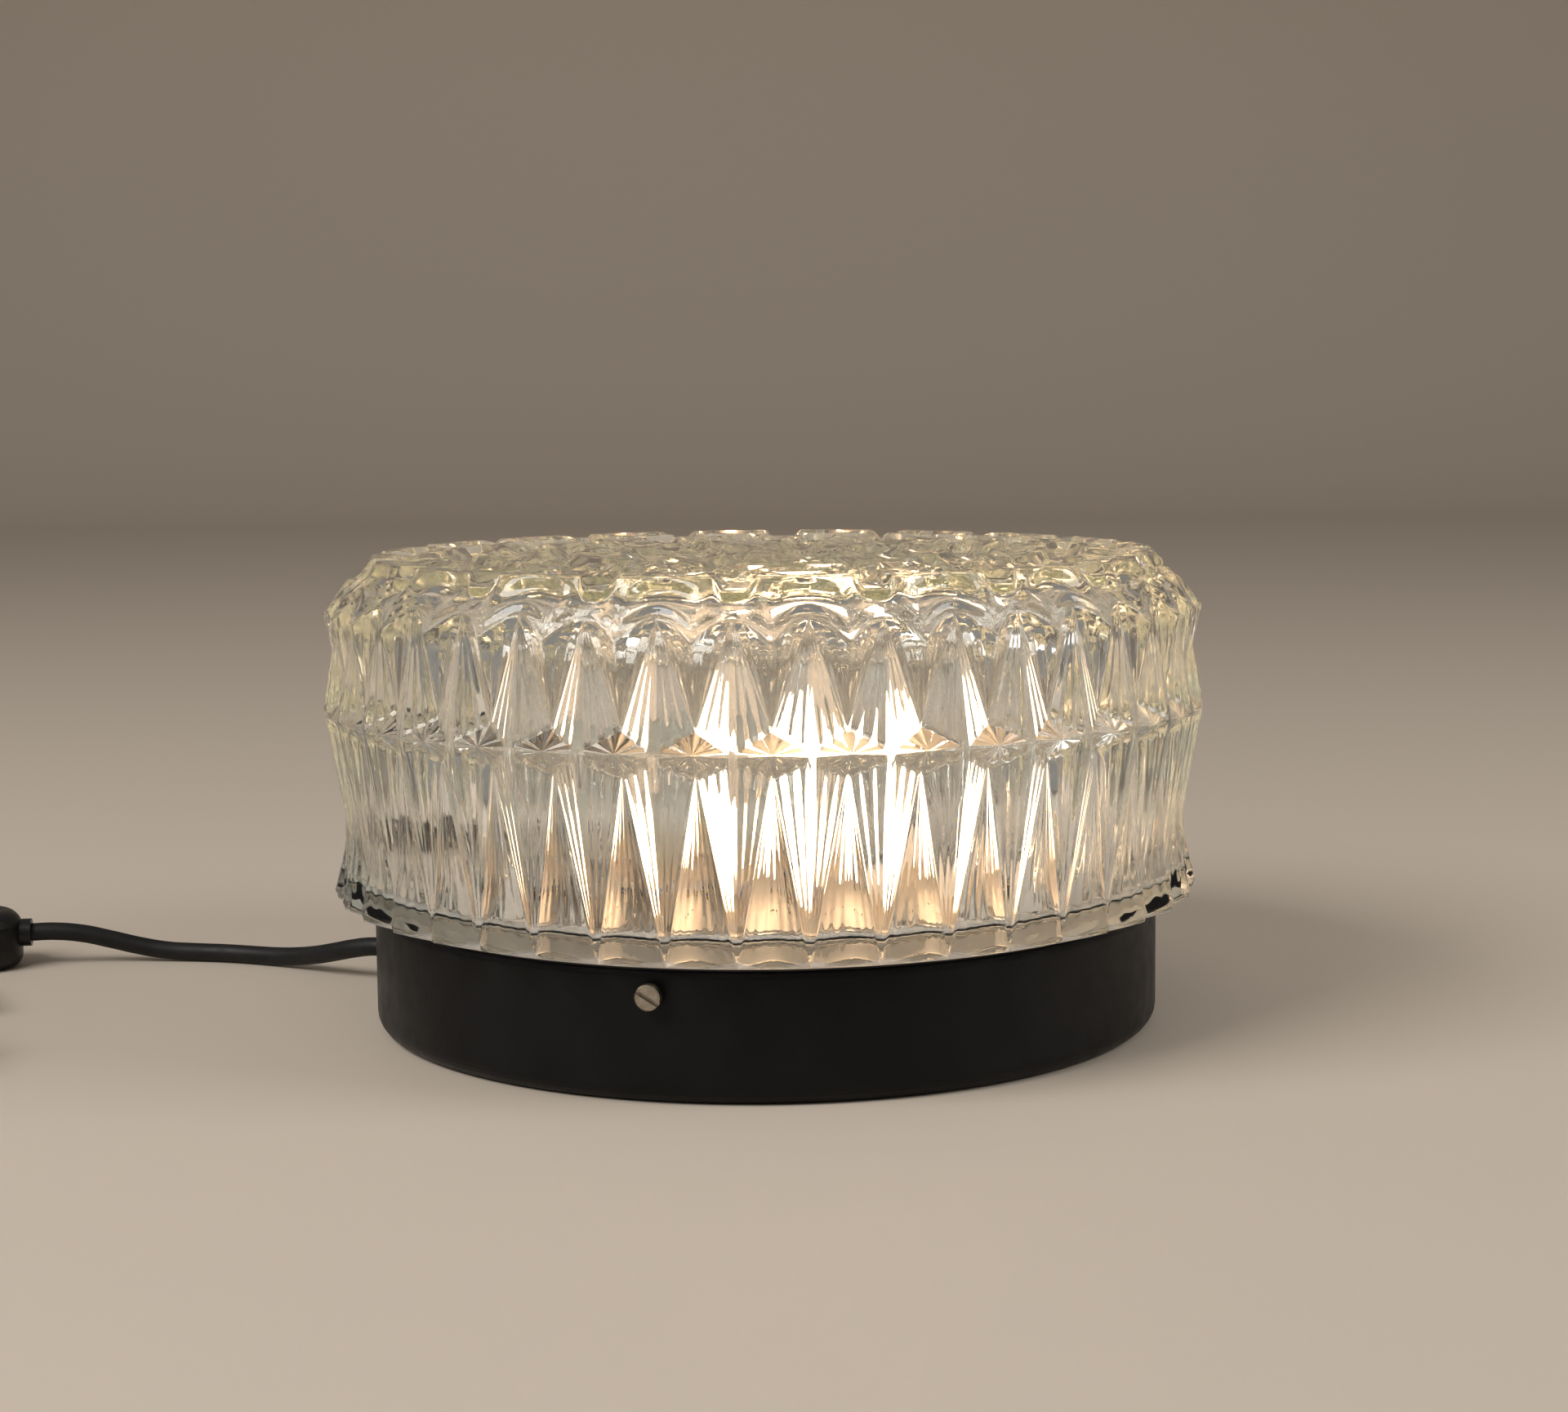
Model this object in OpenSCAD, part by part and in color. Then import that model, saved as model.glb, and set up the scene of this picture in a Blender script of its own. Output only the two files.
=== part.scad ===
// Flush ceiling light: a pressed-glass drum shade on a round steel pan, with one horizontal lamp.
// It stands on the pan's back, as in the photograph. Millimetres, origin at the centre of the
// pan's back face, +Z up the shade's axis, the photographed side towards -Y.

/* [Glass shade] */
// Diameter over the ridge round the middle of the shade
glass_d = 260; // [252:1:276]
// Height of the glass above its seat on the pan
glass_h = 102.2; // [99:0.1:112]
// Height of the middle ridge above the seat
ridge_h = 57.7; // [52:0.1:62]
// Height of the upper rim above the seat
rim_h = 86.2; // [82:0.1:90]
// Number of facet pairs round the side
facet_count = 40; // [32:8:48]
// How far the facets cut in from the ridge
facet_depth = 5.8; // [4:0.1:7]
// Glass behind the deepest facets
glass_wall = 7; // [5:0.1:9]
// Height of the bosses on the top
boss_h = 3.5; // [2:0.1:4]
// Clearance round the lip where it passes the pan's flange
lip_clear = 1.1; // [0.8:0.1:2]
// Thickness of the neck
neck_wall = 4.3; // [3.5:0.1:5]
// Depth of the neck below the seat
neck_depth = 17.3; // [15:0.1:18]
// How far the lip stands out from the neck
lip_w = 2; // [1.5:0.1:2.4]

/* [Base pan] */
// Outside diameter of the pan
base_d = 233; // [231:0.5:236]
// Height of the pan
base_h = 36; // [34:0.5:42]
// Thickness of the pan's wall and flange
pan_wall = 1.2; // [0.8:0.1:1.4]
// Thickness of the pan's back
pan_floor = 1.5; // [1:0.1:2]
// Radius of the pan's lower edge
pan_edge_r = 5; // [3:0.5:5]
// Width of the flange turned in at the top
flange_w = 6.1; // [5.5:0.1:6.3]
// Thickness of the soft ring under the glass
seat_t = 0.8; // [0.5:0.1:1.5]
// Diameter of the circle of ceiling fixing holes
fixing_pcd = 150; // [140:1:160]
// Diameter of a ceiling fixing hole
fixing_hole_d = 5.5; // [4.5:0.1:6.5]
// Diameter of the cable hole in the middle of the back
cable_hole_d = 14; // [10:0.5:18]

/* [Glass screws] */
// Diameter of the glass screws
screw_d = 4; // [3.5:0.1:4.4]
// Diameter of a glass screw's head
screw_head_d = 7; // [6:0.1:8]
// Height of a glass screw's head
screw_head_h = 2.6; // [2:0.1:3]
// Depth of the screws below the pan's top edge
screw_drop = 6.3; // [6:0.1:7]
// Gap between a screw's tip and the lip that it lets past
screw_tip_gap = 0.4; // [0.3:0.1:0.8]
// Side of a clamp nut
nut_w = 7; // [6:0.1:7.5]

/* [Lamp] */
// Height of the lamp's axis above the back
lamp_z = 60; // [56:0.5:64]
// Diameter of the bulb's globe
bulb_d = 60; // [50:1:62]
// Length of the bulb from contact to tip
bulb_len = 105; // [98:1:110]
// Diameter of the burner inside the bulb
burner_d = 10; // [8:0.5:12]
// Length of the burner inside the bulb
burner_len = 30; // [24:1:32]
// Outside diameter of the lampholder's sleeve
sleeve_d = 39; // [37:0.5:40]
// Diameter of the lampholder's threaded shell inside
shell_d = 28; // [27.4:0.1:28.6]
// Width of the bracket
bracket_w = 25; // [18:0.5:28]
// Thickness of the bracket's steel
bracket_t = 2; // [1.5:0.1:2.5]

/* [Cord] */
// Diameter of the mains cord
cord_d = 6; // [5.6:0.1:6.2]
// Height of the cord's hole above the back
cord_z = 11; // [11:0.1:12]
// Outside diameter of the in-line switch across its body
switch_w = 28; // [24:0.5:30]
// Length of the in-line switch's body
switch_body_len = 56; // [52:1:60]
// Diameter of the plug's body
plug_d = 37; // [34:0.5:37]

/* [Hidden] */
$fn = 96;

// Clearances
fit_gap = 0.1;     // screws and pins in their holes
soft_gap = 0.05;   // cord in its bush
slide_gap = 0.3;   // faces of separate bodies

// Base pan
base_r = base_d / 2;
wall_in_r = base_r - pan_wall;
flange_r = base_r - flange_w;
screw_z = base_h - screw_drop;
screw_angles = [-104.5, 15.5, 135.5];
fixing_angles = [0, 120, 240];

// Glass shade
ridge_r = glass_d / 2;
seat_z = base_h + seat_t;
ridge_z = seat_z + ridge_h;
rim_z = seat_z + rim_h;
top_z = seat_z + glass_h;
recess_z = top_z - boss_h;
deep_r = ridge_r - facet_depth;
inner_r = deep_r - glass_wall;
lip_r = flange_r - lip_clear;
neck_r = lip_r - lip_w;
neck_in_r = neck_r - neck_wall;
neck_z = seat_z - neck_depth;
rim_r = ridge_r - 0.7;
bevel_w = 14.3;
top_r = rim_r - bevel_w;
columns = 2 * facet_count;
// Turns the pattern so that the facets stand as the photograph shows them
pattern_turn = 5.8;

// Lamp, along +X from the bracket
bracket_x = -80;
holder_x = bracket_x + bracket_t;
cap_len = 28;
core_t = 10;
cap_end_x = holder_x + cap_len;
core_end_x = cap_end_x - 8;
core_x = core_end_x - core_t;
sleeve_len = 26;
sleeve_end_x = cap_end_x + sleeve_len;
shell_r = shell_d / 2;
shell_t = 0.8;
sleeve_in_r = shell_r + shell_t + 0.4;
cap_r = sleeve_d / 2 - 0.5;
cap_in_r = cap_r - 2;
contact_rise = 9;
contact_x = core_end_x + contact_rise;
thread_gap = 0.8;
bulb_cap_r = shell_r - thread_gap;
bulb_cap_len = 29;
bulb_neck_len = 28;
contact_r = 4.5;
contact_h = 1.5;
cap_cone_r = 11;
cap_cone_h = 5;
cap_thread_h = 6.5;
bulb_r = bulb_d / 2;
bulb_tip_x = contact_x + bulb_len;
globe_x = bulb_tip_x - bulb_r;
bulb_neck_x = contact_x + bulb_cap_len;
stem_r = 3;
stem_end_x = globe_x - 22;
nipple_r = 5;
foot_len = 30;
rivet_xs = [bracket_x + 10, bracket_x + 22];

// Terminals and earth
block_c = [-45, 42];
block_size = [17, 30, 14];
way_pitch = 10;
tube_z = pan_floor + 6.5;
earth_p = [-15, 62];
wire_d = 2.2;

// Cord entry, measured along its line out from the axis
exit_angle = 160;
exit_dir = [cos(exit_angle), sin(exit_angle), 0];
bush_flange_r = 6;
bush_nose_r = base_r + 11.5;
bush_end_r = wall_in_r - 11.8;
clamp_r = wall_in_r - 23.3;
clamp_size = [12, 28];
sheath_end_r = clamp_r - 8;
// A point on the cord's line out, moved aside and up
function along_exit(r, aside = 0, up = 0) =
    [r * exit_dir.x - aside * exit_dir.y, r * exit_dir.y + aside * exit_dir.x, cord_z + up];

// In-line switch, lying on the table along the cord
switch_turn = 187.7;
switch_dir = [cos(switch_turn), sin(switch_turn), 0];
switch_start = [-242.5, 75.4, 0];
switch_boss = 3;
switch_len = switch_body_len + 2 * switch_boss;
switch_split = 11;
switch_h = 19;
switch_boss_r = 4.5;
rocker_size = [22, 13];
rocker_tilt = 7;
rocker_z = 16.5;
rocker_pin_r = 1.2;
switch_end = switch_start + switch_len * switch_dir;
// Route of the cord from the pan to the in-line switch
lead_route = concat(
   [along_exit(sheath_end_r), along_exit(clamp_r), along_exit(bush_end_r), along_exit(base_r),
    along_exit(bush_nose_r), along_exit(bush_nose_r + cord_d)],
   [[-132, 48.8, 9.9], [-138.5, 53.2, 8], [-145, 58.6, 6], [-152, 64, 4.4], [-160, 69, 3.4],
    [-169, 73.3, 3.1], [-179, 76.7, 3.1], [-189, 78.9, 3.1], [-199, 79.8, 3.6], [-208, 79.7, 5.2],
    [-217, 78.8, 7.6], [-226, 77.6, 9.9], switch_start - 7.5 * switch_dir + [0, 0, switch_split],
    switch_start + [0, 0, switch_split]]);
// Route from the switch to the coil
coil_c = [-291, -2];
coil_gap = 0.6;
coil_pitch = cord_d + coil_gap;
coil_turns = 3;
coil_mean_r = 35;
coil_out_r = coil_mean_r + coil_turns * coil_pitch / 2;
coil_in_r = coil_mean_r - coil_turns * coil_pitch / 2;
coil_z = 4;
link_route = concat(
   [switch_end + [0, 0, switch_split], switch_end + 6.5 * switch_dir + [0, 0, switch_split]],
   [[-317.5, 63.6, 10.2], [-324.5, 59.3, 8.6], [-330.2, 53.2, 6.8], [-334, 46, 5.2], [-335.6, 38, 4.3],
    [-336, 30, 4], [-336, 20, 4], [-336, 12, 4], [-336, 4.6, 4]]);
// Route from the coil to the plug
tail_route = [[-336, -8.6, 10.6], [-336, -18, 10.6], [-336, -28, 10.8], [-335.2, -40, 11.5],
    [-332.6, -50.5, 12.8], [-327.8, -60, 14.6], [-321, -67.5, 16.4], [-313, -72.3, 17.9],
    [-305, -74, 18.5], [-298, -74, 18.5]];
plug_start = [-298, -74, 18.5];
plug_taper = 22;
plug_body_len = 26;
plug_pin_len = 19;

// Wires inside the pan
core_aside = 1.3;
core_fan = 4;
function core_start(aside, up) = [for (back = [soft_gap, core_fan])
    along_exit(sheath_end_r - back, aside, up)];
core_routes = [
    [each core_start(core_aside, -0.75), along_exit(sheath_end_r - 10, -0.3, -1.4), [-63, 28.5, 8.6],
     [-58.5, 31.4, 8], [-55, 32, 8], [-51, 32, 8]],
    [each core_start(0, 1.5), along_exit(sheath_end_r - 8.6, -4, 1),
     along_exit(sheath_end_r - 11, -10.7, -0.5), [-60.5, 40.3, 8.8], [-56, 42, 8], [-51, 42, 8]],
    [each core_start(-core_aside, -0.75), along_exit(sheath_end_r - 6.5, -5.3, -1),
     along_exit(sheath_end_r - 6.6, -12.3, -1.6), [-65.5, 46, 8.6], [-60.5, 51, 8], [-56, 52, 8],
     [-51, 52, 8]]];
lamp_routes = [
    [[-39, 32, 8], [-31, 32, 8], [-24.5, 33, 11], [-21.5, 34.5, 18], [-26, 33.5, 25], [-37, 30, 30],
     [-52, 27, 36], [-70, 25, lamp_z - 15], [-84, 21, lamp_z - 9], [-92.5, 14, lamp_z - 4],
     [-95.5, 7, lamp_z - 1], [-93, 2.4, lamp_z], [-88, 1.7, lamp_z], [-80, 1.7, lamp_z],
     [-71, 1.7, lamp_z]],
    [[-39, 42, 8], [-30, 42, 8], [-20.5, 42, 11.5], [-16.5, 41.5, 20], [-22, 39, 28], [-37, 34.5, 34],
     [-54, 31.5, 41], [-72, 29, lamp_z - 10], [-87, 23, lamp_z - 3.5], [-96, 13, lamp_z + 2],
     [-98.5, 4.5, lamp_z + 3.5], [-95.5, -0.8, lamp_z + 1], [-89, -1.7, lamp_z],
     [-80, -1.7, lamp_z], [-71, -1.7, lamp_z]]];
earth_route = [[-39, 52, 8], [-33, 52, 8], [-28.5, 53.6, 6.6], [-25.2, 56.1, 4.2], [-22.4, 57.7, 3.5],
    [-18.7, 59.9, 3.5]];

// Vectors, swept tubes and faces that several pieces use

function unit(v) = v / norm(v);
function heading(p, i) = let (n = len(p) - 1)
    i == 0 ? unit(p[1] - p[0])
    : i == n ? unit(p[n] - p[n - 1])
    : unit(unit(p[i + 1] - p[i]) + unit(p[i] - p[i - 1]));
function side_of(t, up) = unit(cross(t, up));
function tube_ring(p, t, r, n, up) = let (s = side_of(t, up), u = cross(s, t))
    [for (k = [0 : n - 1]) p + r * (cos(360 * k / n) * s + sin(360 * k / n) * u)];
function tube_faces(rings, n) = concat(
    [for (k = [1 : n - 2]) [0, k + 1, k]],
    [for (k = [1 : n - 2]) let (e = (rings - 1) * n) [e, e + k, e + k + 1]],
    [for (i = [0 : rings - 2]) for (k = [0 : n - 1])
        let (a = i * n + k, b = i * n + (k + 1) % n)
        each [[a, b, a + n], [b, b + n, a + n]]]);

// A tube of n sides swept along a route
module tube(route, d, n, up = [0, 0, 1]) {
    points = [for (i = [0 : len(route) - 1]) each tube_ring(route[i], heading(route, i), d / 2, n, up)];
    polyhedron(points, tube_faces(len(route), n));
}

// Turns a piece drawn along +Z to point out from the axis at a height
module point_out(angle, z) {
    rotate([0, 0, angle]) translate([0, 0, z]) rotate([0, 90, 0]) children();
}

// Turns a piece drawn along +Z to lie along the lamp's axis
module along_lamp() {
    translate([0, 0, lamp_z]) rotate([0, 90, 0]) children();
}

// An arc of points about a centre
function arc(c, r, from, to, steps) = [for (i = [0 : steps]) let (a = from + (to - from) * i / steps)
    [c.x + r * cos(a), c.y + r * sin(a)]];

// Pan: spun steel, flat back, straight wall, flange turned in under the glass
module base_pan() {
    inner_edge = pan_edge_r - pan_wall;
    bend_r = 2;
    profile = concat([[0, 0]], arc([base_r - pan_edge_r, pan_edge_r], pan_edge_r, -90, 0, 6),
        arc([base_r - bend_r, base_h - bend_r], bend_r, 0, 90, 4),
        [[flange_r, base_h], [flange_r, base_h - pan_wall], [wall_in_r, base_h - pan_wall]],
        arc([base_r - pan_edge_r, pan_edge_r + pan_floor - pan_wall], inner_edge, 0, -90, 6),
        [[0, pan_floor]]);
    color("#17171a") difference() {
        rotate_extrude($fn = 180) polygon(profile);
        for (a = screw_angles) point_out(a, screw_z) translate([0, 0, wall_in_r - 4])
            cylinder(d = screw_d + 0.4, h = 12);
        for (a = fixing_angles) rotate([0, 0, a]) translate([fixing_pcd / 2, 0, -1])
            cylinder(d = fixing_hole_d, h = 4);
        translate([0, 0, -1]) cylinder(d = cable_hole_d, h = 4);
        for (x = rivet_xs) translate([x, 0, -1]) cylinder(r = 2 + fit_gap, h = 4);
        for (y = block_screw_ys()) translate([block_c.x, y, -1]) cylinder(r = 1.4 + fit_gap, h = 4);
        translate([earth_p.x, earth_p.y, -1]) cylinder(r = 2 + fit_gap, h = 4);
        for (p = clamp_screw_points()) translate([p.x, p.y, -1]) cylinder(r = 1.4 + fit_gap, h = 4);
        point_out(exit_angle, cord_z) translate([0, 0, wall_in_r - 4])
            cylinder(r = bush_flange_r - 1.3, h = 12);
    }
}

// Soft ring that the glass sits on
module seat_ring() {
    color("#2b2a28") translate([0, 0, base_h]) difference() {
        cylinder(r = base_r - 1, h = seat_t, $fn = 180);
        translate([0, 0, -1]) cylinder(r = flange_r + 0.8, h = seat_t + 2, $fn = 180);
    }
}

// Square nuts welded behind the wall, curved to it
module clamp_nuts() {
    color("#a7a49c") for (a = screw_angles) intersection() {
        rotate([0, 0, a]) translate([wall_in_r - 3.8, -nut_w / 2, screw_z - nut_w / 2]) difference() {
            cube([6, nut_w, nut_w]);
            translate([-1, nut_w / 2, nut_w / 2]) rotate([0, 90, 0])
                cylinder(r = screw_d / 2 + fit_gap, h = 10);
        }
        cylinder(r = wall_in_r, h = base_h, $fn = 180);
    }
}

// Pressed-glass shade: one closed skin of rings and columns.
// Even columns carry the kites, odd columns the spears between them.

function even(j) = j % 2 == 0;
function col_angle(j) = pattern_turn + 360 * j / columns;
function at_col(r, z, j) = [r * cos(col_angle(j)), r * sin(col_angle(j)), z];
// How far column j lies from the middle of the nearest boss, for bosses every n columns
function boss_off(j, n, shift) = abs((j + shift + n / 2) % n - n / 2);
function boss_height(j, n, shift, flat) = recess_z + boss_h * (boss_off(j, n, shift) <= flat ? 1 : 0);
// Top rings from the middle outwards: radius as a share of the top, boss spacing, shift, flat half-width
top_rings = [[0.05, 1, 0, 1], [0.10, 0, 0, 0], [0.14, 16, 0, 5], [0.25, 16, 0, 4], [0.31, 0, 0, 0],
             [0.36, 8, 4, 2], [0.48, 8, 4, 2], [0.54, 0, 0, 0], [0.60, 4, 2, 1], [0.72, 4, 2, 1],
             [0.78, 0, 0, 0], [0.84, 4, 0, 1]];
function top_point(ring, j) = at_col(ring[0] * top_r, ring[1] == 0 ? recess_z
    : boss_height(j, ring[1], ring[2], ring[3]), j);
bevel_slope = (top_z - rim_z) / bevel_w;
function edge_point(j) = let (low = boss_off(j, 4, 0) > 1)
    at_col(top_r + (low ? boss_h / bevel_slope : 0), low ? recess_z : top_z, j);
function rim_point(j) = even(j) ? at_col(deep_r, rim_z + (rim_r - deep_r) * bevel_slope, j)
    : at_col(rim_r, rim_z, j);
function foot_point(j) = even(j) ? at_col(ridge_r - 10, seat_z + 0.9, j)
    : at_col(ridge_r - 2, seat_z + 7.6, j);
function sole_point(j) = even(j) ? at_col(ridge_r - 10.9, seat_z + 0.5, j)
    : at_col(ridge_r - 2.6, seat_z + 3.8, j);
// Plain rings from the sole, round the neck and lip and up the inside
plain_rings = [[base_r + 1.8, seat_z + 0.3], [base_r - 0.3, seat_z], [neck_r, seat_z], [neck_r, neck_z + 7],
    [lip_r, neck_z + 5.5], [lip_r, neck_z + 1.5], [lip_r - 1.5, neck_z], [neck_in_r + 1, neck_z],
    [neck_in_r, neck_z + 1], [neck_in_r, seat_z + 2.8], [inner_r - 5, seat_z + 5.8], [inner_r, seat_z + 10.5],
    [inner_r, rim_z - 8], [inner_r - 2.5, rim_z + 1], [inner_r - 9, recess_z - 6],
    [inner_r - 16, recess_z - 5.5]];
// Nodes of the facets, in odd columns only: above the ridge, below it, and above the foot
upper_node = [deep_r, ridge_z + 5.5];
lower_node = [deep_r, ridge_z - 5];
waist_node = [deep_r, seat_z + 22];

module glass_shade() {
    m = columns;
    tops = len(top_rings);
    plains = len(plain_rings);
    points = concat(
        [for (ring = top_rings) for (j = [0 : m - 1]) top_point(ring, j)],
        [for (j = [0 : m - 1]) edge_point(j)],
        [for (j = [0 : m - 1]) rim_point(j)],
        [for (j = [0 : m - 1]) at_col(ridge_r, ridge_z, j)],
        [for (j = [0 : m - 1]) foot_point(j)],
        [for (j = [0 : m - 1]) sole_point(j)],
        [for (ring = plain_rings) for (j = [0 : m - 1]) at_col(ring[0], ring[1], j)],
        [for (n = [upper_node, lower_node, waist_node]) for (j = [1 : 2 : m - 1]) at_col(n[0], n[1], j)],
        [[0, 0, top_z], [0, 0, recess_z - 5.5]]);
    edge = tops * m;
    rim = edge + m;
    ridge = rim + m;
    foot = ridge + m;
    sole = foot + m;
    plain = sole + m;
    nodes = plain + plains * m;
    top_mid = nodes + 3 * facet_count;
    inner_mid = top_mid + 1;
    function next(j) = (j + 1) % m;
    // Two triangles for each column between ring a and ring b, split alike on both sides of an even column
    function band(a, b) = [for (j = [0 : m - 1]) each even(j)
        ? [[a + j, a + next(j), b + j], [a + next(j), b + next(j), b + j]]
        : [[a + j, a + next(j), b + next(j)], [a + j, b + next(j), b + j]]];
    function node_of(kind, j) = nodes + kind * facet_count + (j - 1) / 2;
    // The facets either side of each odd column: k is the column on one side, turned by flip
    function facet(a, b, c, flip) = flip ? [a, c, b] : [a, b, c];
    facets = [for (j = [1 : 2 : m - 1]) for (side = [0, 1])
        let (k = side == 0 ? j - 1 : next(j), f = side == 1)
        let (u = node_of(0, j), l = node_of(1, j), w = node_of(2, j))
        each [facet(rim + k, rim + j, u, f), facet(rim + k, u, ridge + k, f),
              facet(ridge + k, u, ridge + j, f), facet(ridge + k, ridge + j, l, f),
              facet(ridge + k, l, foot + k, f), facet(l, w, foot + k, f),
              facet(foot + k, w, foot + j, f)]];
    faces = concat(
        [for (j = [0 : m - 1]) [top_mid, next(j), j]],
        [for (i = [0 : tops - 1]) each band(i * m, (i + 1) * m)],
        band(edge, rim), facets, band(foot, sole), band(sole, plain),
        [for (i = [0 : plains - 2]) each band(plain + i * m, plain + (i + 1) * m)],
        [for (j = [0 : m - 1]) let (last = plain + (plains - 1) * m) [inner_mid, last + j, last + next(j)]]);
    color([0.9, 0.95, 0.85, 0.5]) polyhedron(points, faces);
}

// Slotted cheese-head screw that holds the glass by its lip
module glass_screw(i) {
    tip_r = lip_r + screw_tip_gap;
    head_r = base_r + 2.4;
    color("#b9b2a2") point_out(screw_angles[i], screw_z) difference() {
        union() {
            translate([0, 0, tip_r]) cylinder(r1 = screw_d / 2 - 0.8, r2 = screw_d / 2 - 0.1, h = 1);
            translate([0, 0, tip_r + 1]) cylinder(r = screw_d / 2 - 0.1, h = head_r - tip_r - 1);
            translate([0, 0, head_r]) cylinder(d = screw_head_d, h = screw_head_h - 0.4);
            translate([0, 0, head_r + screw_head_h - 0.4])
                cylinder(d1 = screw_head_d, d2 = screw_head_d - 0.8, h = 0.4);
        }
        translate([0, 0, head_r + screw_head_h - 1.2]) rotate([0, 0, -30]) translate([-0.6, -10, 0])
            cube([1.2, 20, 5]);
    }
}

module glass_screw_1() { glass_screw(0); }
module glass_screw_2() { glass_screw(1); }
module glass_screw_3() { glass_screw(2); }

// Steel strip bent to an L that carries the lampholder
module holder_bracket() {
    color("#8f9093") difference() {
        union() {
            translate([bracket_x, -bracket_w / 2, pan_floor])
                cube([bracket_t, bracket_w, lamp_z - pan_floor]);
            translate([bracket_x, 0, lamp_z]) rotate([0, 90, 0]) cylinder(d = bracket_w, h = bracket_t);
            translate([bracket_x, -bracket_w / 2, pan_floor]) cube([foot_len, bracket_w, bracket_t]);
        }
        translate([bracket_x - 1, 0, lamp_z]) rotate([0, 90, 0])
            cylinder(r = nipple_r + fit_gap, h = bracket_t + 2);
        for (x = rivet_xs) translate([x, 0, pan_floor - 1]) cylinder(r = 2 + fit_gap, h = bracket_t + 2);
    }
}

// Rivets through the bracket's foot and the pan's back
module bracket_rivets() {
    head_z = pan_floor + bracket_t;
    color("#b4b3ae") for (x = rivet_xs) translate([x, 0, 0]) {
        translate([0, 0, 0.2]) cylinder(r = 2, h = head_z - 0.2);
        translate([0, 0, head_z]) rotate_extrude()
            polygon(concat([[0, 0], [3.5, 0]], arc([0, -1.3], 3.73, 20.4, 90, 6)));
    }
}

// Hollow threaded tube that joins the bracket and the lampholder
module holder_nipple() {
    color("#c9a04e") along_lamp() translate([0, 0, bracket_x - 6]) difference() {
        cylinder(r = nipple_r, h = 14);
        translate([0, 0, -1]) cylinder(r = nipple_r - 1.4, h = 16);
    }
}

// Hexagon nut behind the bracket
module nipple_nut() {
    color("#c9a04e") along_lamp() translate([0, 0, bracket_x - 4]) difference() {
        cylinder(d = 15, h = 4, $fn = 6);
        translate([0, 0, -1]) cylinder(r = nipple_r + fit_gap, h = 6);
    }
}

// Rear cup of the lampholder
module lampholder_cap() {
    profile = concat([[nipple_r + fit_gap, 0]], arc([cap_r - 7, 7], 7, -90, 0, 6),
        [[cap_r, cap_len], [cap_in_r, cap_len]], arc([cap_in_r - 5, 9], 5, 0, -90, 6),
        [[nipple_r + fit_gap, 4]]);
    color("#efece2") along_lamp() translate([0, 0, holder_x]) rotate_extrude() polygon(profile);
}

// Ceramic core inside the cup, with the holes for the wires
module lampholder_core() {
    color("#f4f1e8") along_lamp() translate([0, 0, core_x]) difference() {
        cylinder(r = cap_in_r - 0.2, h = core_t);
        for (a = [0, 180]) rotate([0, 0, a]) translate([0, 8, -1]) cylinder(r = 1.8, h = core_t + 2);
    }
}

// Threaded brass shell that takes the bulb's cap
module lampholder_shell() {
    len = sleeve_end_x - 2 - core_end_x;
    color("#c9a04e") along_lamp() translate([0, 0, core_end_x]) difference() {
        cylinder(r = shell_r + shell_t, h = len);
        translate([0, 0, -1]) cylinder(r = shell_r, h = len + 2);
    }
}

// Centre contact on the core
module lampholder_contact() {
    color("#c9a04e") along_lamp() translate([0, 0, core_end_x])
        cylinder(r = 3, h = contact_x - core_end_x - slide_gap);
}

// Front sleeve of the lampholder, with the spigot that goes into the cup
module lampholder_sleeve() {
    groove = [for (i = [0 : 5]) each [[sleeve_d / 2, 12.5 + 2 * i], [sleeve_d / 2 - 0.8, 13.5 + 2 * i]]];
    spigot_r = cap_in_r - 0.2;
    profile = concat([[sleeve_in_r, -8], [spigot_r, -8], [spigot_r, 0], [sleeve_d / 2, 0]], groove,
        [[sleeve_d / 2, sleeve_len - 1], [sleeve_d / 2 - 1, sleeve_len], [sleeve_in_r, sleeve_len]]);
    color("#efece2") along_lamp() translate([0, 0, cap_end_x]) rotate_extrude() polygon(profile);
}

// Bulb: frosted globe with a neck, a screw cap and a contact, and a burner on a glass stem
module bulb_glass() {
    t = 0.9;
    neck = bulb_cap_r - 0.6;
    blend = acos((bulb_neck_x + bulb_neck_len - globe_x) / bulb_r);
    function skin(r, off) = concat(
        [[neck - off, 0], [neck + 0.7 - off, 6], [neck + 3 - off, 14], [neck + 6.9 - off, 22]],
        [for (i = [0 : 16]) let (a = blend * (1 - i / 16))
            [r * sin(a), globe_x - bulb_neck_x + r * cos(a)]]);
    outer = skin(bulb_r, 0);
    inner = skin(bulb_r - t, t);
    color("#fffaf0") along_lamp() translate([0, 0, bulb_neck_x]) rotate_extrude()
        polygon(concat(outer, [for (i = [len(inner) - 1 : -1 : 0]) inner[i]]));
}

module bulb_cap() {
    color("#c4c4c0") along_lamp() translate([0, 0, contact_x]) rotate_extrude()
        polygon([[0, contact_h], [contact_r + 0.5, contact_h], [cap_cone_r, cap_cone_h],
            [bulb_cap_r, cap_thread_h], [bulb_cap_r, bulb_cap_len], [0, bulb_cap_len]]);
}

module bulb_contact() {
    color("#b8b6ae") along_lamp() translate([0, 0, contact_x]) cylinder(r = contact_r, h = contact_h);
}

// Glass stem, flared where it stands on the cap
module bulb_stem() {
    h = stem_end_x - bulb_neck_x;
    color("#dfe5df") along_lamp() translate([0, 0, bulb_neck_x]) rotate_extrude()
        polygon([[0, 0], [9, 0], [6.4, 0.15 * h], [4.4, 0.35 * h], [stem_r, 0.6 * h], [stem_r, h], [0, h]]);
}

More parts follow.
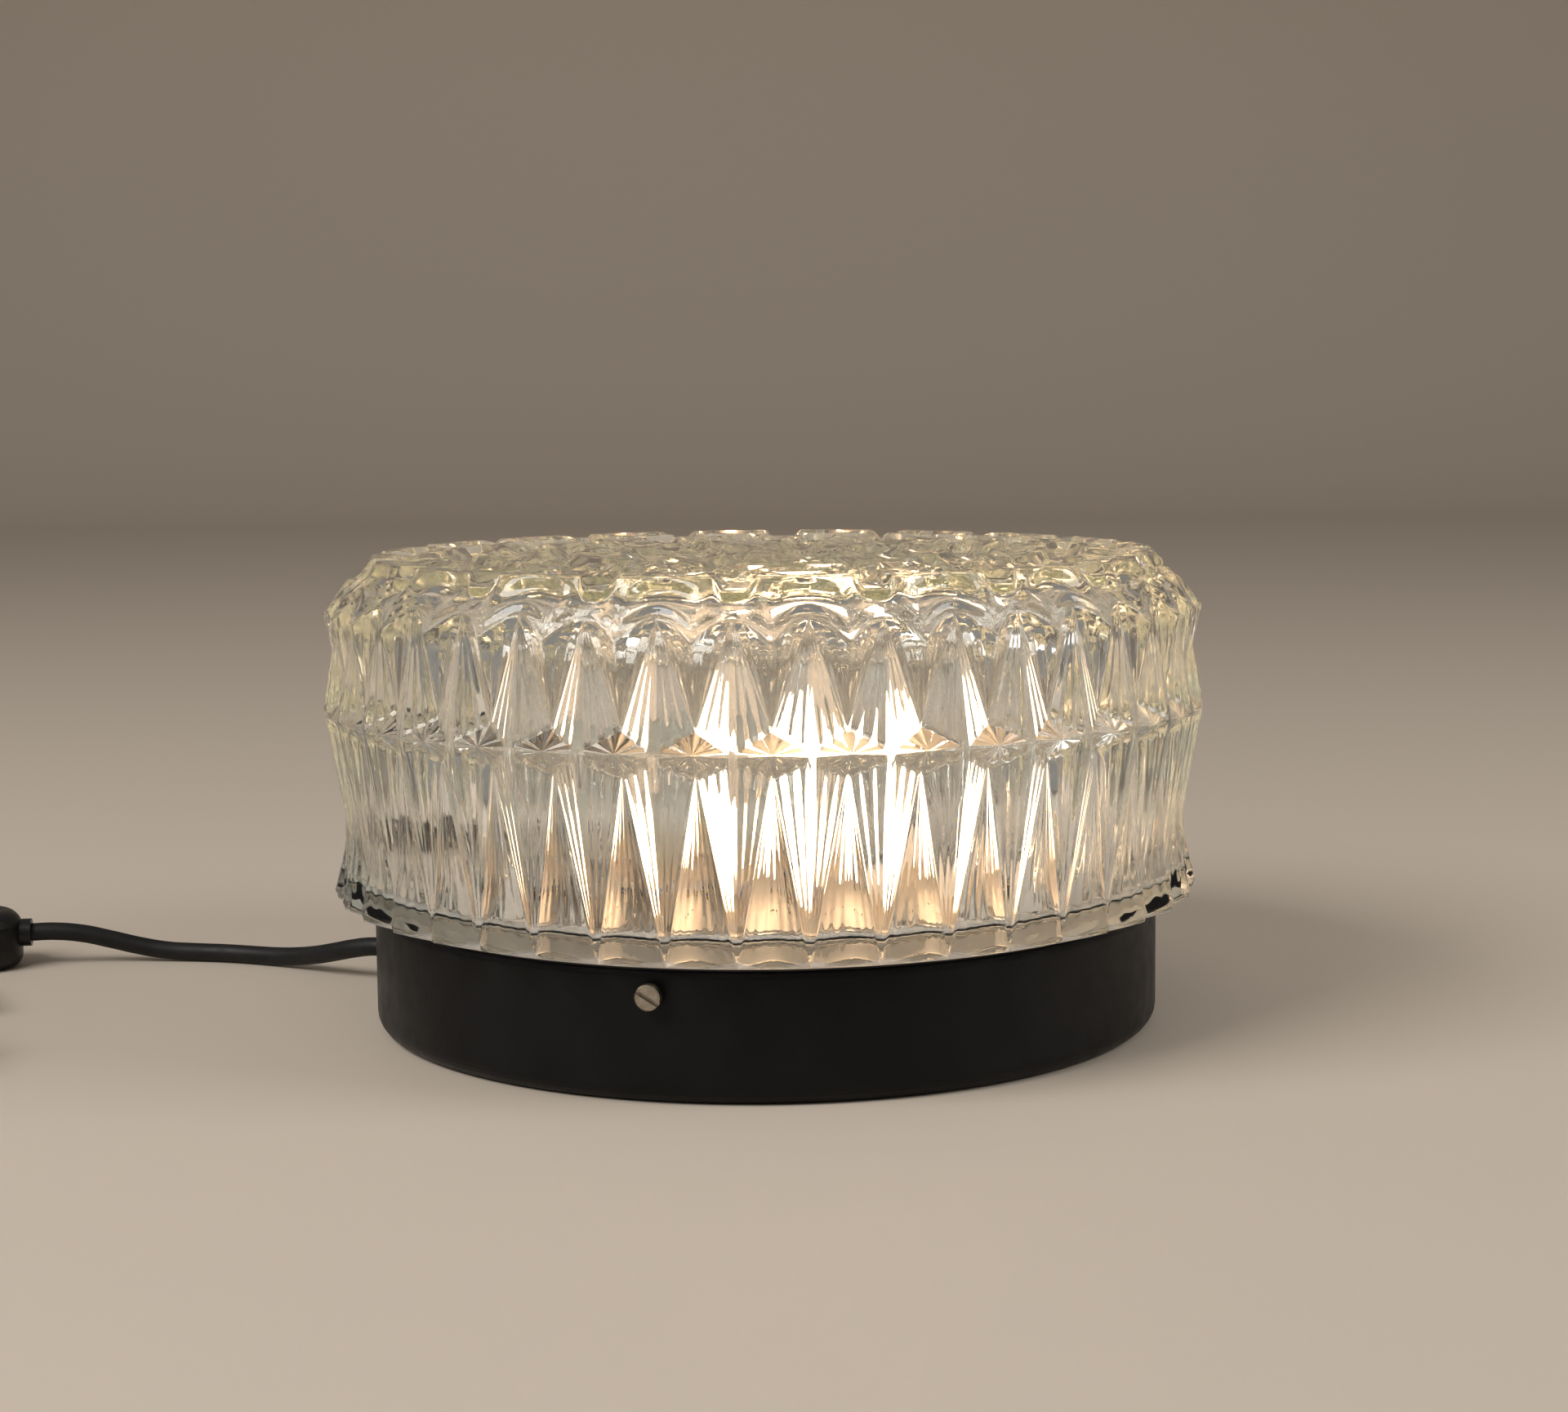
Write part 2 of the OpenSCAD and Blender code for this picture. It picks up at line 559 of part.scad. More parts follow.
// Burner on the end of the stem
module bulb_burner() {
    r = burner_d / 2;
    color("#fff3d6") along_lamp() translate([0, 0, stem_end_x]) rotate_extrude()
        polygon(concat([[0, 0], [stem_r, 0], [r, 3]], arc([0, burner_len - r], r, 0, 90, 8)));
}

function way_ys() = [for (i = [-1 : 1]) block_c.y + way_pitch * i];
function block_screw_ys() = [for (i = [-0.5, 0.5]) block_c.y + way_pitch * i];
function clamp_screw_points() = [for (s = [-10, 10])
    [clamp_r * exit_dir.x - s * exit_dir.y, clamp_r * exit_dir.y + s * exit_dir.x]];

// Three-way terminal block on the pan's back
module terminal_block() {
    color("#e9e4d6") difference() {
        translate([block_c.x - block_size.x / 2, block_c.y - block_size.y / 2, pan_floor])
            cube(block_size);
        for (y = way_ys()) {
            translate([block_c.x - 20, y, tube_z]) rotate([0, 90, 0]) cylinder(r = 2.6, h = 40);
            for (dx = [-4, 4]) translate([block_c.x + dx, y, tube_z]) cylinder(r = 1.8, h = 20);
        }
        for (y = block_screw_ys()) {
            translate([block_c.x, y, 0]) cylinder(r = 1.4 + fit_gap, h = 30);
            translate([block_c.x, y, pan_floor + block_size.z - 3]) cylinder(r = 2.4, h = 10);
        }
    }
}

// Brass tubes of the terminals
module terminal_tubes() {
    color("#c9a04e") for (y = way_ys()) translate([block_c.x - 7.5, y, tube_z]) difference() {
        rotate([0, 90, 0]) cylinder(r = 2.5, h = 15);
        translate([-1, 0, 0]) rotate([0, 90, 0]) cylinder(r = 1.6, h = 17);
        for (dx = [-4, 4]) translate([7.5 + dx, 0, 0]) cylinder(r = 1.3, h = 10);
    }
}

// Two pinch screws for each terminal
module terminal_screws() {
    color("#b4b3ae") for (y = way_ys()) for (dx = [-4, 4])
        translate([block_c.x + dx, y, tube_z + 1.3]) difference() {
        union() {
            cylinder(r = 1.2, h = 1.6);
            translate([0, 0, 1.6]) cylinder(r = 1.6, h = 3.2);
        }
        translate([-0.3, -5, 4]) cube([0.6, 10, 2]);
    }
}

// Screws that hold the block down
module block_screws() {
    top = pan_floor + block_size.z - 3;
    color("#b4b3ae") for (y = block_screw_ys()) translate([block_c.x, y, 0]) difference() {
        union() {
            translate([0, 0, 0.2]) cylinder(r = 1.4, h = top - 0.2);
            translate([0, 0, top]) cylinder(r = 2.3, h = 1.8);
        }
        translate([-0.4, -5, top + 1]) cube([0.8, 10, 2]);
    }
}

// Ring tag of the earth wire, held by its screw
module earth_tag() {
    color("#c9a04e") translate([earth_p.x, earth_p.y, pan_floor]) rotate([0, 0, 210]) difference() {
        union() {
            cylinder(r = 4.5, h = 0.8);
            translate([3, -2, 0]) cube([6, 4, 0.8]);
        }
        translate([0, 0, -1]) cylinder(r = 2 + fit_gap, h = 3);
    }
}

module earth_screw() {
    head_z = pan_floor + 0.8;
    color("#b4b3ae") translate([earth_p.x, earth_p.y, 0]) difference() {
        union() {
            translate([0, 0, 0.2]) cylinder(r = 2, h = head_z - 0.2);
            translate([0, 0, head_z]) cylinder(r = 3.8, h = 2.6);
        }
        translate([-0.5, -5, head_z + 1.4]) cube([1, 10, 3]);
    }
}

// Rubber bush where the cord leaves the pan: grooved for the wall, tapered along the cord
module cord_bush() {
    bore = cord_d / 2 + soft_gap;
    groove = bush_flange_r - 1.4;
    profile = [[bore, bush_end_r], [4.2, bush_end_r], [5.4, wall_in_r - 2.6],
        [bush_flange_r, wall_in_r - 2.4], [bush_flange_r, wall_in_r - 0.3], [groove, wall_in_r - 0.3],
        [groove, base_r + 0.2], [bush_flange_r, base_r + 0.2], [bush_flange_r, base_r + 1.8],
        [5.4, base_r + 2.4], [bore + 0.9, bush_nose_r], [bore, bush_nose_r]];
    color("#141414") point_out(exit_angle, cord_z) rotate_extrude() polygon(profile);
}

// Two-part clamp that grips the cord inside the pan
module clamp_half(z0, z1) {
    color("#e9e4d6") rotate([0, 0, exit_angle]) difference() {
        translate([clamp_r - clamp_size.x / 2, -clamp_size.y / 2, z0])
            cube([clamp_size.x, clamp_size.y, z1 - z0]);
        translate([clamp_r - 20, 0, cord_z]) rotate([0, 90, 0])
            cylinder(r = cord_d / 2 + soft_gap, h = 40);
        for (y = [-10, 10]) translate([clamp_r, y, 0]) cylinder(r = 1.4 + fit_gap, h = 40);
    }
}

module clamp_base() { clamp_half(pan_floor, cord_z - 0.3); }
module clamp_bar() { clamp_half(cord_z + 0.3, cord_z + 4.8); }

module clamp_screws() {
    top = cord_z + 4.8;
    color("#b4b3ae") for (p = clamp_screw_points()) translate([p.x, p.y, 0]) difference() {
        union() {
            translate([0, 0, 0.2]) cylinder(r = 1.4, h = top - 0.2);
            translate([0, 0, top]) cylinder(r = 2.6, h = 1.8);
        }
        translate([-0.4, -5, top + 1]) cube([0.8, 10, 2]);
    }
}

// Cores from the cord's sheath to the terminals
module cord_cores() {
    color("#7a4a26") for (route = core_routes) tube(route, wire_d, 8);
}

// Wires from the terminals through the nipple into the lampholder
module lamp_wires() {
    color("#3a5fa0") for (route = lamp_routes) tube(route, wire_d, 8);
}

module earth_wire() {
    color("#6d9a35") tube(earth_route, wire_d, 8);
}

module cord_lead() {
    color("#161616") tube(lead_route, cord_d, 10);
}

// In-line switch: two shells with round ends, a rocker between pins, two screws from below

module on_switch() {
    translate(switch_start + switch_len / 2 * switch_dir) rotate([0, 0, switch_turn]) children();
}

// A long body with round ends, from the half-section of its width
module stadium(half) {
    run = switch_body_len - switch_w;
    translate([-run / 2, 0, 0]) rotate_extrude() polygon(half);
    translate([run / 2, 0, 0]) rotate_extrude() polygon(half);
    translate([-run / 2, 0, 0]) rotate([90, 0, 90]) linear_extrude(run)
        polygon(concat(half, [for (i = [len(half) - 1 : -1 : 0]) [-half[i].x, half[i].y]]));
}

module switch_bosses(z0, z1) {
    intersection() {
        for (s = [0, 180]) rotate([0, 0, s]) translate([switch_len / 2 - 10, 0, switch_split])
            rotate([0, 90, 0]) cylinder(r = switch_boss_r, h = 10);
        translate([-50, -20, z0]) cube([100, 40, z1 - z0]);
    }
}

module switch_lower() {
    w = switch_w / 2;
    half = concat([[0, 0]], arc([w - 4, 4], 4, -90, 0, 6), [[w, switch_split], [0, switch_split]]);
    color("#121212") on_switch() difference() {
        union() {
            stadium(half);
            switch_bosses(0, switch_split);
        }
        for (x = [-18, 18]) translate([x, 0, -1]) {
            cylinder(r = 1.5, h = 20);
            cylinder(r = 2.9, h = 4);
        }
    }
}

module switch_upper() {
    w = switch_w / 2;
    half = concat([[0, switch_split], [w, switch_split]], arc([w - 6, switch_h - 6], 6, 0, 90, 8),
        [[0, switch_h]]);
    gap = slide_gap;
    color("#121212") on_switch() difference() {
        union() {
            stadium(half);
            switch_bosses(switch_split, switch_split + 6);
        }
        translate([-rocker_size.x / 2 - gap, -rocker_size.y / 2 - gap, 0])
            cube([rocker_size.x + 2 * gap, rocker_size.y + 2 * gap, 30]);
        translate([0, 0, rocker_z]) rotate([90, 0, 0])
            cylinder(r = rocker_pin_r + fit_gap, h = rocker_size.y + 5, center = true);
        for (x = [-18, 18]) translate([x, 0, 0]) cylinder(r = 1.5, h = switch_split + 5);
    }
}

// Rocker, shown pressed at one end, on a pin through the upper shell
module switch_rocker() {
    l = rocker_size.x / 2 - 0.5;
    outline = [[-l, -3], [-4, -4], [4, -4], [l, -3], [l, 4.6], [0, 3], [-l, 4.6]];
    color("#1d1d1d") on_switch() translate([0, 0, rocker_z]) rotate([0, rocker_tilt, 0]) {
        rotate([90, 0, 0]) linear_extrude(rocker_size.y, center = true) polygon(outline);
        rotate([90, 0, 0]) cylinder(r = rocker_pin_r, h = rocker_size.y + 4, center = true);
    }
}

module switch_screws() {
    color("#8f9093") on_switch() for (x = [-18, 18]) translate([x, 0, 0]) {
        translate([0, 0, 0.6]) cylinder(r = 2.7, h = 2.4);
        translate([0, 0, 3]) cylinder(r = 1.4, h = switch_split + 1);
    }
}

module cord_link() {
    color("#161616") tube(link_route, cord_d, 10);
}

// Coil: spirals in, climbs a layer in the half turn where it reverses, and spirals out again

coil_steps = 24;
coil_half = coil_turns * coil_steps;
function coil_climb(i) = let (q = (i - coil_half) / (coil_steps / 2))
    q < -0.5 ? 0 : q > 0.5 ? 1 : 0.5 - 0.5 * cos(180 * (q + 0.5));
function coil_point(i) = let (a = 180 + 360 * i / coil_steps)
    let (r = coil_in_r + coil_pitch * abs(i - coil_half) / coil_steps)
    [coil_c.x + r * cos(a), coil_c.y + r * sin(a), coil_z + coil_pitch * coil_climb(i)];
coil_route = concat([[coil_c.x - coil_out_r, coil_c.y + coil_pitch, coil_z]],
    [for (i = [0 : 2 * coil_half]) coil_point(i)],
    [[coil_c.x - coil_out_r, coil_c.y - coil_pitch, coil_z + coil_pitch]]);
// Least distance between stretches of the coil that are a third of a turn or more apart, less the cord
function coil_self_gap(p) = min([for (i = [0 : len(p) - 1])
    for (k = [i + 8 : 1 : len(p) - 1]) norm(p[i] - p[k])]) - cord_d;

module cord_coil() {
    echo(coil_self_gap_mm = coil_self_gap(coil_route));
    color("#161616") tube(coil_route, cord_d, 6);
}

// Strap round the coil's turns
module coil_tie() {
    r0 = coil_in_r - 0.6;
    r1 = coil_out_r + 0.5;
    z1 = coil_z + coil_pitch + cord_d / 2 + 0.6;
    color("#2a2a2a") translate([coil_c.x, coil_c.y + 4, 0]) rotate([90, 0, 0]) linear_extrude(8)
    difference() {
        translate([r0 - 0.8, 0]) square([r1 - r0 + 1.6, z1 + 0.8]);
        translate([r0, 0.6]) square([r1 - r0, z1 - 0.6]);
    }
}

module cord_tail() {
    color("#161616") tube(tail_route, cord_d, 10);
}

// Plug: round body with a tapered sleeve, two pins and two earth strips

module on_plug() {
    translate(plug_start) rotate([0, 90, 0]) children();
}

module plug_body() {
    r = plug_d / 2;
    end = plug_taper + plug_body_len;
    profile = concat([[0, 0], [4.2, 0], [7.5, plug_taper - 3], [9, plug_taper]],
        arc([r - 4, plug_taper + 4], 4, -90, 0, 5), [[r, end - 1], [r - 1, end], [0, end]]);
    color("#161616") on_plug() difference() {
        rotate_extrude() polygon(profile);
        for (s = [-1, 1]) translate([s > 0 ? r - 2.5 : -r - 5, -4, plug_taper + 8]) cube([7.5, 8, 40]);
        for (y = [-9.5, 9.5]) translate([0, y, end - 8]) cylinder(r = 2.4 + fit_gap, h = 20);
    }
}

module plug_pins() {
    end = plug_taper + plug_body_len;
    color("#c8c8c4") on_plug() for (y = [-9.5, 9.5]) translate([0, y, end - 8]) {
        cylinder(r = 2.4, h = plug_pin_len + 7);
        translate([0, 0, plug_pin_len + 7]) cylinder(r1 = 2.4, r2 = 1.6, h = 1);
    }
}

module plug_strips() {
    r = plug_d / 2;
    color("#c8c8c4") on_plug() for (s = [-1, 1])
        translate([s > 0 ? r - 2.5 : -r + 1.7, -3, plug_taper + 8.5]) cube([0.8, 6, plug_body_len - 9]);
}

base_pan();
seat_ring();
clamp_nuts();
glass_shade();
glass_screw_1();
glass_screw_2();
glass_screw_3();
holder_bracket();
bracket_rivets();
holder_nipple();
nipple_nut();
lampholder_cap();
lampholder_core();
lampholder_shell();
lampholder_contact();
lampholder_sleeve();
bulb_glass();
bulb_cap();
bulb_contact();
bulb_stem();
bulb_burner();
terminal_block();
terminal_tubes();
terminal_screws();
block_screws();
earth_tag();
earth_screw();
cord_bush();
clamp_base();
clamp_bar();
clamp_screws();
cord_cores();
lamp_wires();
earth_wire();
cord_lead();
switch_lower();
switch_upper();
switch_rocker();
switch_screws();
cord_link();
cord_coil();
coil_tie();
cord_tail();
plug_body();
plug_pins();
plug_strips();
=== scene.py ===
from math import cos, pi, radians, sin

import bmesh
import bpy
import numpy as np
from mathutils import Matrix, Vector


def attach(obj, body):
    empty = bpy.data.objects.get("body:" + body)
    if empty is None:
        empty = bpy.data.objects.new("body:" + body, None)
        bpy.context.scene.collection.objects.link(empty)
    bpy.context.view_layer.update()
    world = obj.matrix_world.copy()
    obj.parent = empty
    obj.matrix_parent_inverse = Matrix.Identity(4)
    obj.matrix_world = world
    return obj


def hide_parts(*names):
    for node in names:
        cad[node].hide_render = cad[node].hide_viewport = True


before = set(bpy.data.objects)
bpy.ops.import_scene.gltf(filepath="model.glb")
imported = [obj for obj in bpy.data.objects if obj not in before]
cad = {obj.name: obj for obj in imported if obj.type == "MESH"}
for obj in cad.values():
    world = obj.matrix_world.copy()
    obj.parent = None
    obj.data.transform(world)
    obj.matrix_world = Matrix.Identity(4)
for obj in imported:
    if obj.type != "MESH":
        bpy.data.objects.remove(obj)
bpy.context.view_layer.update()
scene = bpy.context.scene
scene.view_settings.view_transform = "Standard"
# Light from the lamp crosses many faces of glass before it is seen, so its paths are long.
scene.cycles.max_bounces = 32
scene.cycles.glossy_bounces = 16
scene.cycles.transmission_bounces = 32


# View: the light was photographed from a little above its top, about 0.83 m in front of it,
# looking 6.6 degrees down and turned half a degree.
mm = 0.001
eye_place = (6.05, -825.1, 187.5)
look_down, roll = 6.59, -0.57
eye = bpy.data.objects.new("eye", bpy.data.cameras.new("eye"))
eye.data.sensor_fit = "HORIZONTAL"
eye.data.sensor_width = 36.0
eye.data.lens = 63.75
eye.matrix_world = (
    Matrix.Translation([c * mm for c in eye_place])
    @ Matrix.Rotation(radians(90 - look_down), 4, "X")
    @ Matrix.Rotation(radians(roll), 4, "Z")
)
scene.collection.objects.link(eye)
scene.camera = eye


# Table and backdrop: one pale, warm sheet of matt paper that runs flat under the light and curves up
# far behind it. It isn't part of the object.
def mesh_piece(name, points, faces):
    mesh = bpy.data.meshes.new(name)
    mesh.from_pydata([tuple(p) for p in points], [], faces)
    mesh.validate()
    piece = bpy.data.objects.new(name, mesh)
    scene.collection.objects.link(piece)
    return piece


def new_finish(name, colour, roughness, metallic=0.0):
    finish = bpy.data.materials.new(name)
    finish.use_nodes = True
    shader = finish.node_tree.nodes["Principled BSDF"]
    shader.inputs["Base Color"].default_value = (*colour, 1.0)
    shader.inputs["Roughness"].default_value = roughness
    shader.inputs["Metallic"].default_value = metallic
    return finish, finish.node_tree, shader


near_edge, bend_start, bend_r = -7.0, 3.0, 0.8
sheet_top, sheet_side = 3.6, 8.0
sweep = [(near_edge, 0.0), (bend_start, 0.0)]
sweep += [(bend_start + bend_r * sin(radians(a)), bend_r - bend_r * cos(radians(a))) for a in range(6, 91, 6)]
sweep += [(bend_start + bend_r, sheet_top)]
sheet_points = [(x, y, z) for x in (-sheet_side, sheet_side) for y, z in sweep]
count = len(sweep)
sheet_faces = [(i, i + count, i + count + 1, i + 1) for i in range(count - 1)]
backdrop = mesh_piece("backdrop", sheet_points, sheet_faces)
backdrop.data.polygons.foreach_set("use_smooth", [True] * (count - 1))
pale_sheet, _, _ = new_finish("pale_sheet", (0.62, 0.535, 0.445), 0.62)
backdrop.data.materials.append(pale_sheet)


# Studio light: a large soft panel above on the left, a weaker one on the right, and an even pale room.
# It isn't part of the object, whose own lamp is lit as well.
def soft_panel(name, place, aim, width, height, power, colour):
    panel = bpy.data.objects.new(name, bpy.data.lights.new(name, "AREA"))
    panel.data.shape = "RECTANGLE"
    panel.data.size = width
    panel.data.size_y = height
    panel.data.energy = power
    panel.data.color = colour
    panel.location = place
    panel.rotation_euler = (Vector(aim) - Vector(place)).to_track_quat("-Z", "Y").to_euler()
    scene.collection.objects.link(panel)


lamp_middle = (0, 0, 0.06)
soft_panel("left_panel", (-1.3, -1.0, 1.5), lamp_middle, 1.3, 1.0, 33, (1.0, 0.98, 0.95))
soft_panel("right_panel", (1.6, -0.5, 1.1), lamp_middle, 0.9, 0.9, 13, (0.98, 0.97, 0.95))
room = bpy.data.worlds.new("room")
room.use_nodes = True
room.node_tree.nodes["Background"].inputs["Color"].default_value = (0.92, 0.88, 0.84, 1.0)
room.node_tree.nodes["Background"].inputs["Strength"].default_value = 0.24
scene.world = room


# Base pan: spun steel, enamelled satin black outside and left in pale primer inside.
# The glass stands on the flange at its top, and its back goes against the ceiling.
def speckle(tree, scale, detail=4.0, stretch=(1.0, 1.0, 1.0)):
    place = tree.nodes.new("ShaderNodeTexCoord")
    ratio = tree.nodes.new("ShaderNodeMapping")
    ratio.inputs["Scale"].default_value = stretch
    cloud = tree.nodes.new("ShaderNodeTexNoise")
    cloud.inputs["Scale"].default_value = scale
    cloud.inputs["Detail"].default_value = detail
    tree.links.new(place.outputs["Object"], ratio.inputs["Vector"])
    tree.links.new(ratio.outputs["Vector"], cloud.inputs["Vector"])
    return cloud.outputs["Fac"]


def span(tree, value, start, end, low, high):
    between = tree.nodes.new("ShaderNodeMapRange")
    between.inputs["From Min"].default_value = start
    between.inputs["From Max"].default_value = end
    between.inputs["To Min"].default_value = low
    between.inputs["To Max"].default_value = high
    tree.links.new(value, between.inputs["Value"])
    return between.outputs["Result"]


def two_tone(tree, value, first, second):
    mix = tree.nodes.new("ShaderNodeMix")
    mix.data_type = "RGBA"
    mix.inputs["A"].default_value = (*first, 1.0)
    mix.inputs["B"].default_value = (*second, 1.0)
    tree.links.new(value, mix.inputs["Factor"])
    return mix.outputs["Result"]


def relief(tree, shader, value, height):
    bump = tree.nodes.new("ShaderNodeBump")
    bump.inputs["Distance"].default_value = height
    bump.inputs["Strength"].default_value = 0.6
    tree.links.new(value, bump.inputs["Height"])
    tree.links.new(bump.outputs["Normal"], shader.inputs["Normal"])


def dress(finish, *names):
    for name in names:
        cad[name].data.materials.clear()
        cad[name].data.materials.append(finish)


def math_node(tree, operation, first, second):
    node = tree.nodes.new("ShaderNodeMath")
    node.operation = operation
    for socket, value in zip(node.inputs, (first, second)):
        if isinstance(value, float):
            socket.default_value = value
        else:
            tree.links.new(value, socket)
    return node.outputs["Value"]


# The inner coat ends at the wall's inner face and under the flange, and follows the corner below
wall_in, back_top, flange_under = 0.1157, 0.0012, 0.0352
corner_reach, corner_up, corner_r = 0.1115, 0.0052, 0.0044
black_enamel, tree, shader = new_finish("black_enamel", (0.005, 0.005, 0.0055), 0.4)
shader.inputs["Specular IOR Level"].default_value = 0.16
place = tree.nodes.new("ShaderNodeTexCoord")
parts = tree.nodes.new("ShaderNodeSeparateXYZ")
tree.links.new(place.outputs["Object"], parts.inputs["Vector"])
across = math_node(tree, "ADD", math_node(tree, "MULTIPLY", parts.outputs["X"], parts.outputs["X"]),
                   math_node(tree, "MULTIPLY", parts.outputs["Y"], parts.outputs["Y"]))
reach = math_node(tree, "SQRT", across, 0.0)
height = parts.outputs["Z"]
within_wall = math_node(tree, "MULTIPLY", math_node(tree, "LESS_THAN", reach, wall_in),
                        math_node(tree, "GREATER_THAN", height, corner_up))
over_back = math_node(tree, "MULTIPLY", math_node(tree, "LESS_THAN", reach, corner_reach),
                      math_node(tree, "GREATER_THAN", height, back_top))
aside = math_node(tree, "SUBTRACT", reach, corner_reach)
above = math_node(tree, "SUBTRACT", height, corner_up)
from_corner = math_node(tree, "ADD", math_node(tree, "MULTIPLY", aside, aside),
                        math_node(tree, "MULTIPLY", above, above))
in_corner = math_node(tree, "LESS_THAN", from_corner, corner_r ** 2)
inside = math_node(tree, "MAXIMUM", math_node(tree, "MAXIMUM", within_wall, over_back), in_corner)
inside = math_node(tree, "MULTIPLY", inside, math_node(tree, "LESS_THAN", height, flange_under))
enamel = two_tone(tree, span(tree, speckle(tree, 38, 6.0), 0.35, 0.7, 0.0, 1.0),
                  (0.0035, 0.0035, 0.004), (0.007, 0.007, 0.0075))
primer = two_tone(tree, span(tree, speckle(tree, 60, 5.0), 0.3, 0.7, 0.0, 1.0),
                  (0.60, 0.545, 0.465), (0.70, 0.64, 0.55))
coats = tree.nodes.new("ShaderNodeMix")
coats.data_type = "RGBA"
tree.links.new(inside, coats.inputs["Factor"])
tree.links.new(enamel, coats.inputs["A"])
tree.links.new(primer, coats.inputs["B"])
tree.links.new(coats.outputs["Result"], shader.inputs["Base Color"])
tree.links.new(span(tree, speckle(tree, 150, 5.0), 0.3, 0.7, 0.36, 0.47), shader.inputs["Roughness"])
relief(tree, shader, speckle(tree, 900, 3.0), 0.00006)
dress(black_enamel, "base_pan")


# Nuts, rivets and inner screws: zinc-plated steel. The nuts are welded behind the wall,
# the rivets close the bracket's foot, and the screws hold terminals, clamp and earth.
zinc, tree, shader = new_finish("zinc_plate", (0.56, 0.55, 0.52), 0.38, 1.0)
tree.links.new(two_tone(tree, span(tree, speckle(tree, 420, 6.0), 0.3, 0.7, 0.0, 1.0),
                        (0.50, 0.49, 0.46), (0.64, 0.63, 0.60)), shader.inputs["Base Color"])
tree.links.new(span(tree, speckle(tree, 700, 4.0), 0.3, 0.7, 0.28, 0.5), shader.inputs["Roughness"])
relief(tree, shader, speckle(tree, 2600, 2.0), 0.00003)
dress(zinc, "clamp_nuts", "bracket_rivets", "terminal_screws", "block_screws", "earth_screw",
      "clamp_screws", "switch_screws")


# Bracket: a strip of rolled steel, bent to an L and left bare. Two rivets hold its foot on the pan's back,
# and the lampholder's nipple goes through its upright.
strip_steel, tree, shader = new_finish("strip_steel", (0.62, 0.61, 0.59), 0.46, 1.0)
rolled = speckle(tree, 260, 5.0, (1.0, 8.0, 0.6))
tree.links.new(two_tone(tree, span(tree, rolled, 0.3, 0.7, 0.0, 1.0), (0.56, 0.55, 0.53), (0.68, 0.67, 0.65)),
               shader.inputs["Base Color"])
tree.links.new(span(tree, rolled, 0.3, 0.7, 0.34, 0.52), shader.inputs["Roughness"])
relief(tree, shader, rolled, 0.00005)
dress(strip_steel, "holder_bracket")


# Brass pieces: the hollow nipple and its nut, the holder's threaded shell and centre contact,
# the terminals and the earth tag, all turned or stamped and a little tarnished.
brass, tree, shader = new_finish("turned_brass", (0.76, 0.58, 0.28), 0.3, 1.0)
tree.links.new(two_tone(tree, span(tree, speckle(tree, 180, 6.0), 0.35, 0.7, 0.0, 1.0),
                        (0.62, 0.45, 0.20), (0.82, 0.65, 0.34)), shader.inputs["Base Color"])
tree.links.new(span(tree, speckle(tree, 500, 4.0), 0.3, 0.7, 0.22, 0.42), shader.inputs["Roughness"])
relief(tree, shader, speckle(tree, 1800, 2.0, (6.0, 1.0, 1.0)), 0.00003)
dress(brass, "holder_nipple", "nipple_nut", "lampholder_shell", "lampholder_contact", "terminal_tubes",
      "earth_tag")


# Lampholder: a moulded ivory cup and sleeve, screwed together round a glazed porcelain core. The cord's
# clamp is moulded of the same resin, and the terminal block of the same porcelain.
ivory, tree, shader = new_finish("ivory_resin", (0.78, 0.74, 0.63), 0.3)
tree.links.new(two_tone(tree, span(tree, speckle(tree, 90, 5.0), 0.35, 0.7, 0.0, 1.0),
                        (0.74, 0.70, 0.58), (0.82, 0.78, 0.68)), shader.inputs["Base Color"])
tree.links.new(span(tree, speckle(tree, 240, 4.0), 0.3, 0.7, 0.24, 0.38), shader.inputs["Roughness"])
relief(tree, shader, speckle(tree, 1500, 2.0), 0.00003)
dress(ivory, "lampholder_cap", "lampholder_sleeve", "clamp_base", "clamp_bar")

porcelain, tree, shader = new_finish("porcelain", (0.84, 0.82, 0.76), 0.22)
tree.links.new(two_tone(tree, span(tree, speckle(tree, 320, 6.0), 0.4, 0.75, 0.0, 1.0),
                        (0.85, 0.83, 0.78), (0.74, 0.71, 0.63)), shader.inputs["Base Color"])
tree.links.new(span(tree, speckle(tree, 200, 3.0), 0.3, 0.7, 0.16, 0.3), shader.inputs["Roughness"])
relief(tree, shader, speckle(tree, 800, 2.0), 0.00004)
dress(porcelain, "lampholder_core", "terminal_block")


# Inner wires: single insulated cores, brown, blue and green with yellow, from the cord to the terminals
# and from the terminals through the nipple into the lampholder.
def flex(name, route, diameter, finish):
    line = bpy.data.curves.new(name, "CURVE")
    line.dimensions = "3D"
    line.resolution_u = 8
    line.bevel_depth = diameter / 2
    line.bevel_resolution = 4
    line.use_fill_caps = True
    spline = line.splines.new("BEZIER")
    spline.bezier_points.add(len(route) - 1)
    for point, place in zip(spline.bezier_points, route):
        point.co = [c * mm for c in place]
        point.handle_left_type = "AUTO"
        point.handle_right_type = "AUTO"
    line.materials.append(finish)
    piece = bpy.data.objects.new(name, line)
    scene.collection.objects.link(piece)
    return piece


def insulation(name, dark, light):
    finish, tree, shader = new_finish(name, light, 0.42)
    tree.links.new(two_tone(tree, span(tree, speckle(tree, 300, 4.0), 0.3, 0.7, 0.0, 1.0), dark, light),
                   shader.inputs["Base Color"])
    relief(tree, shader, speckle(tree, 2200, 2.0), 0.00003)
    return finish


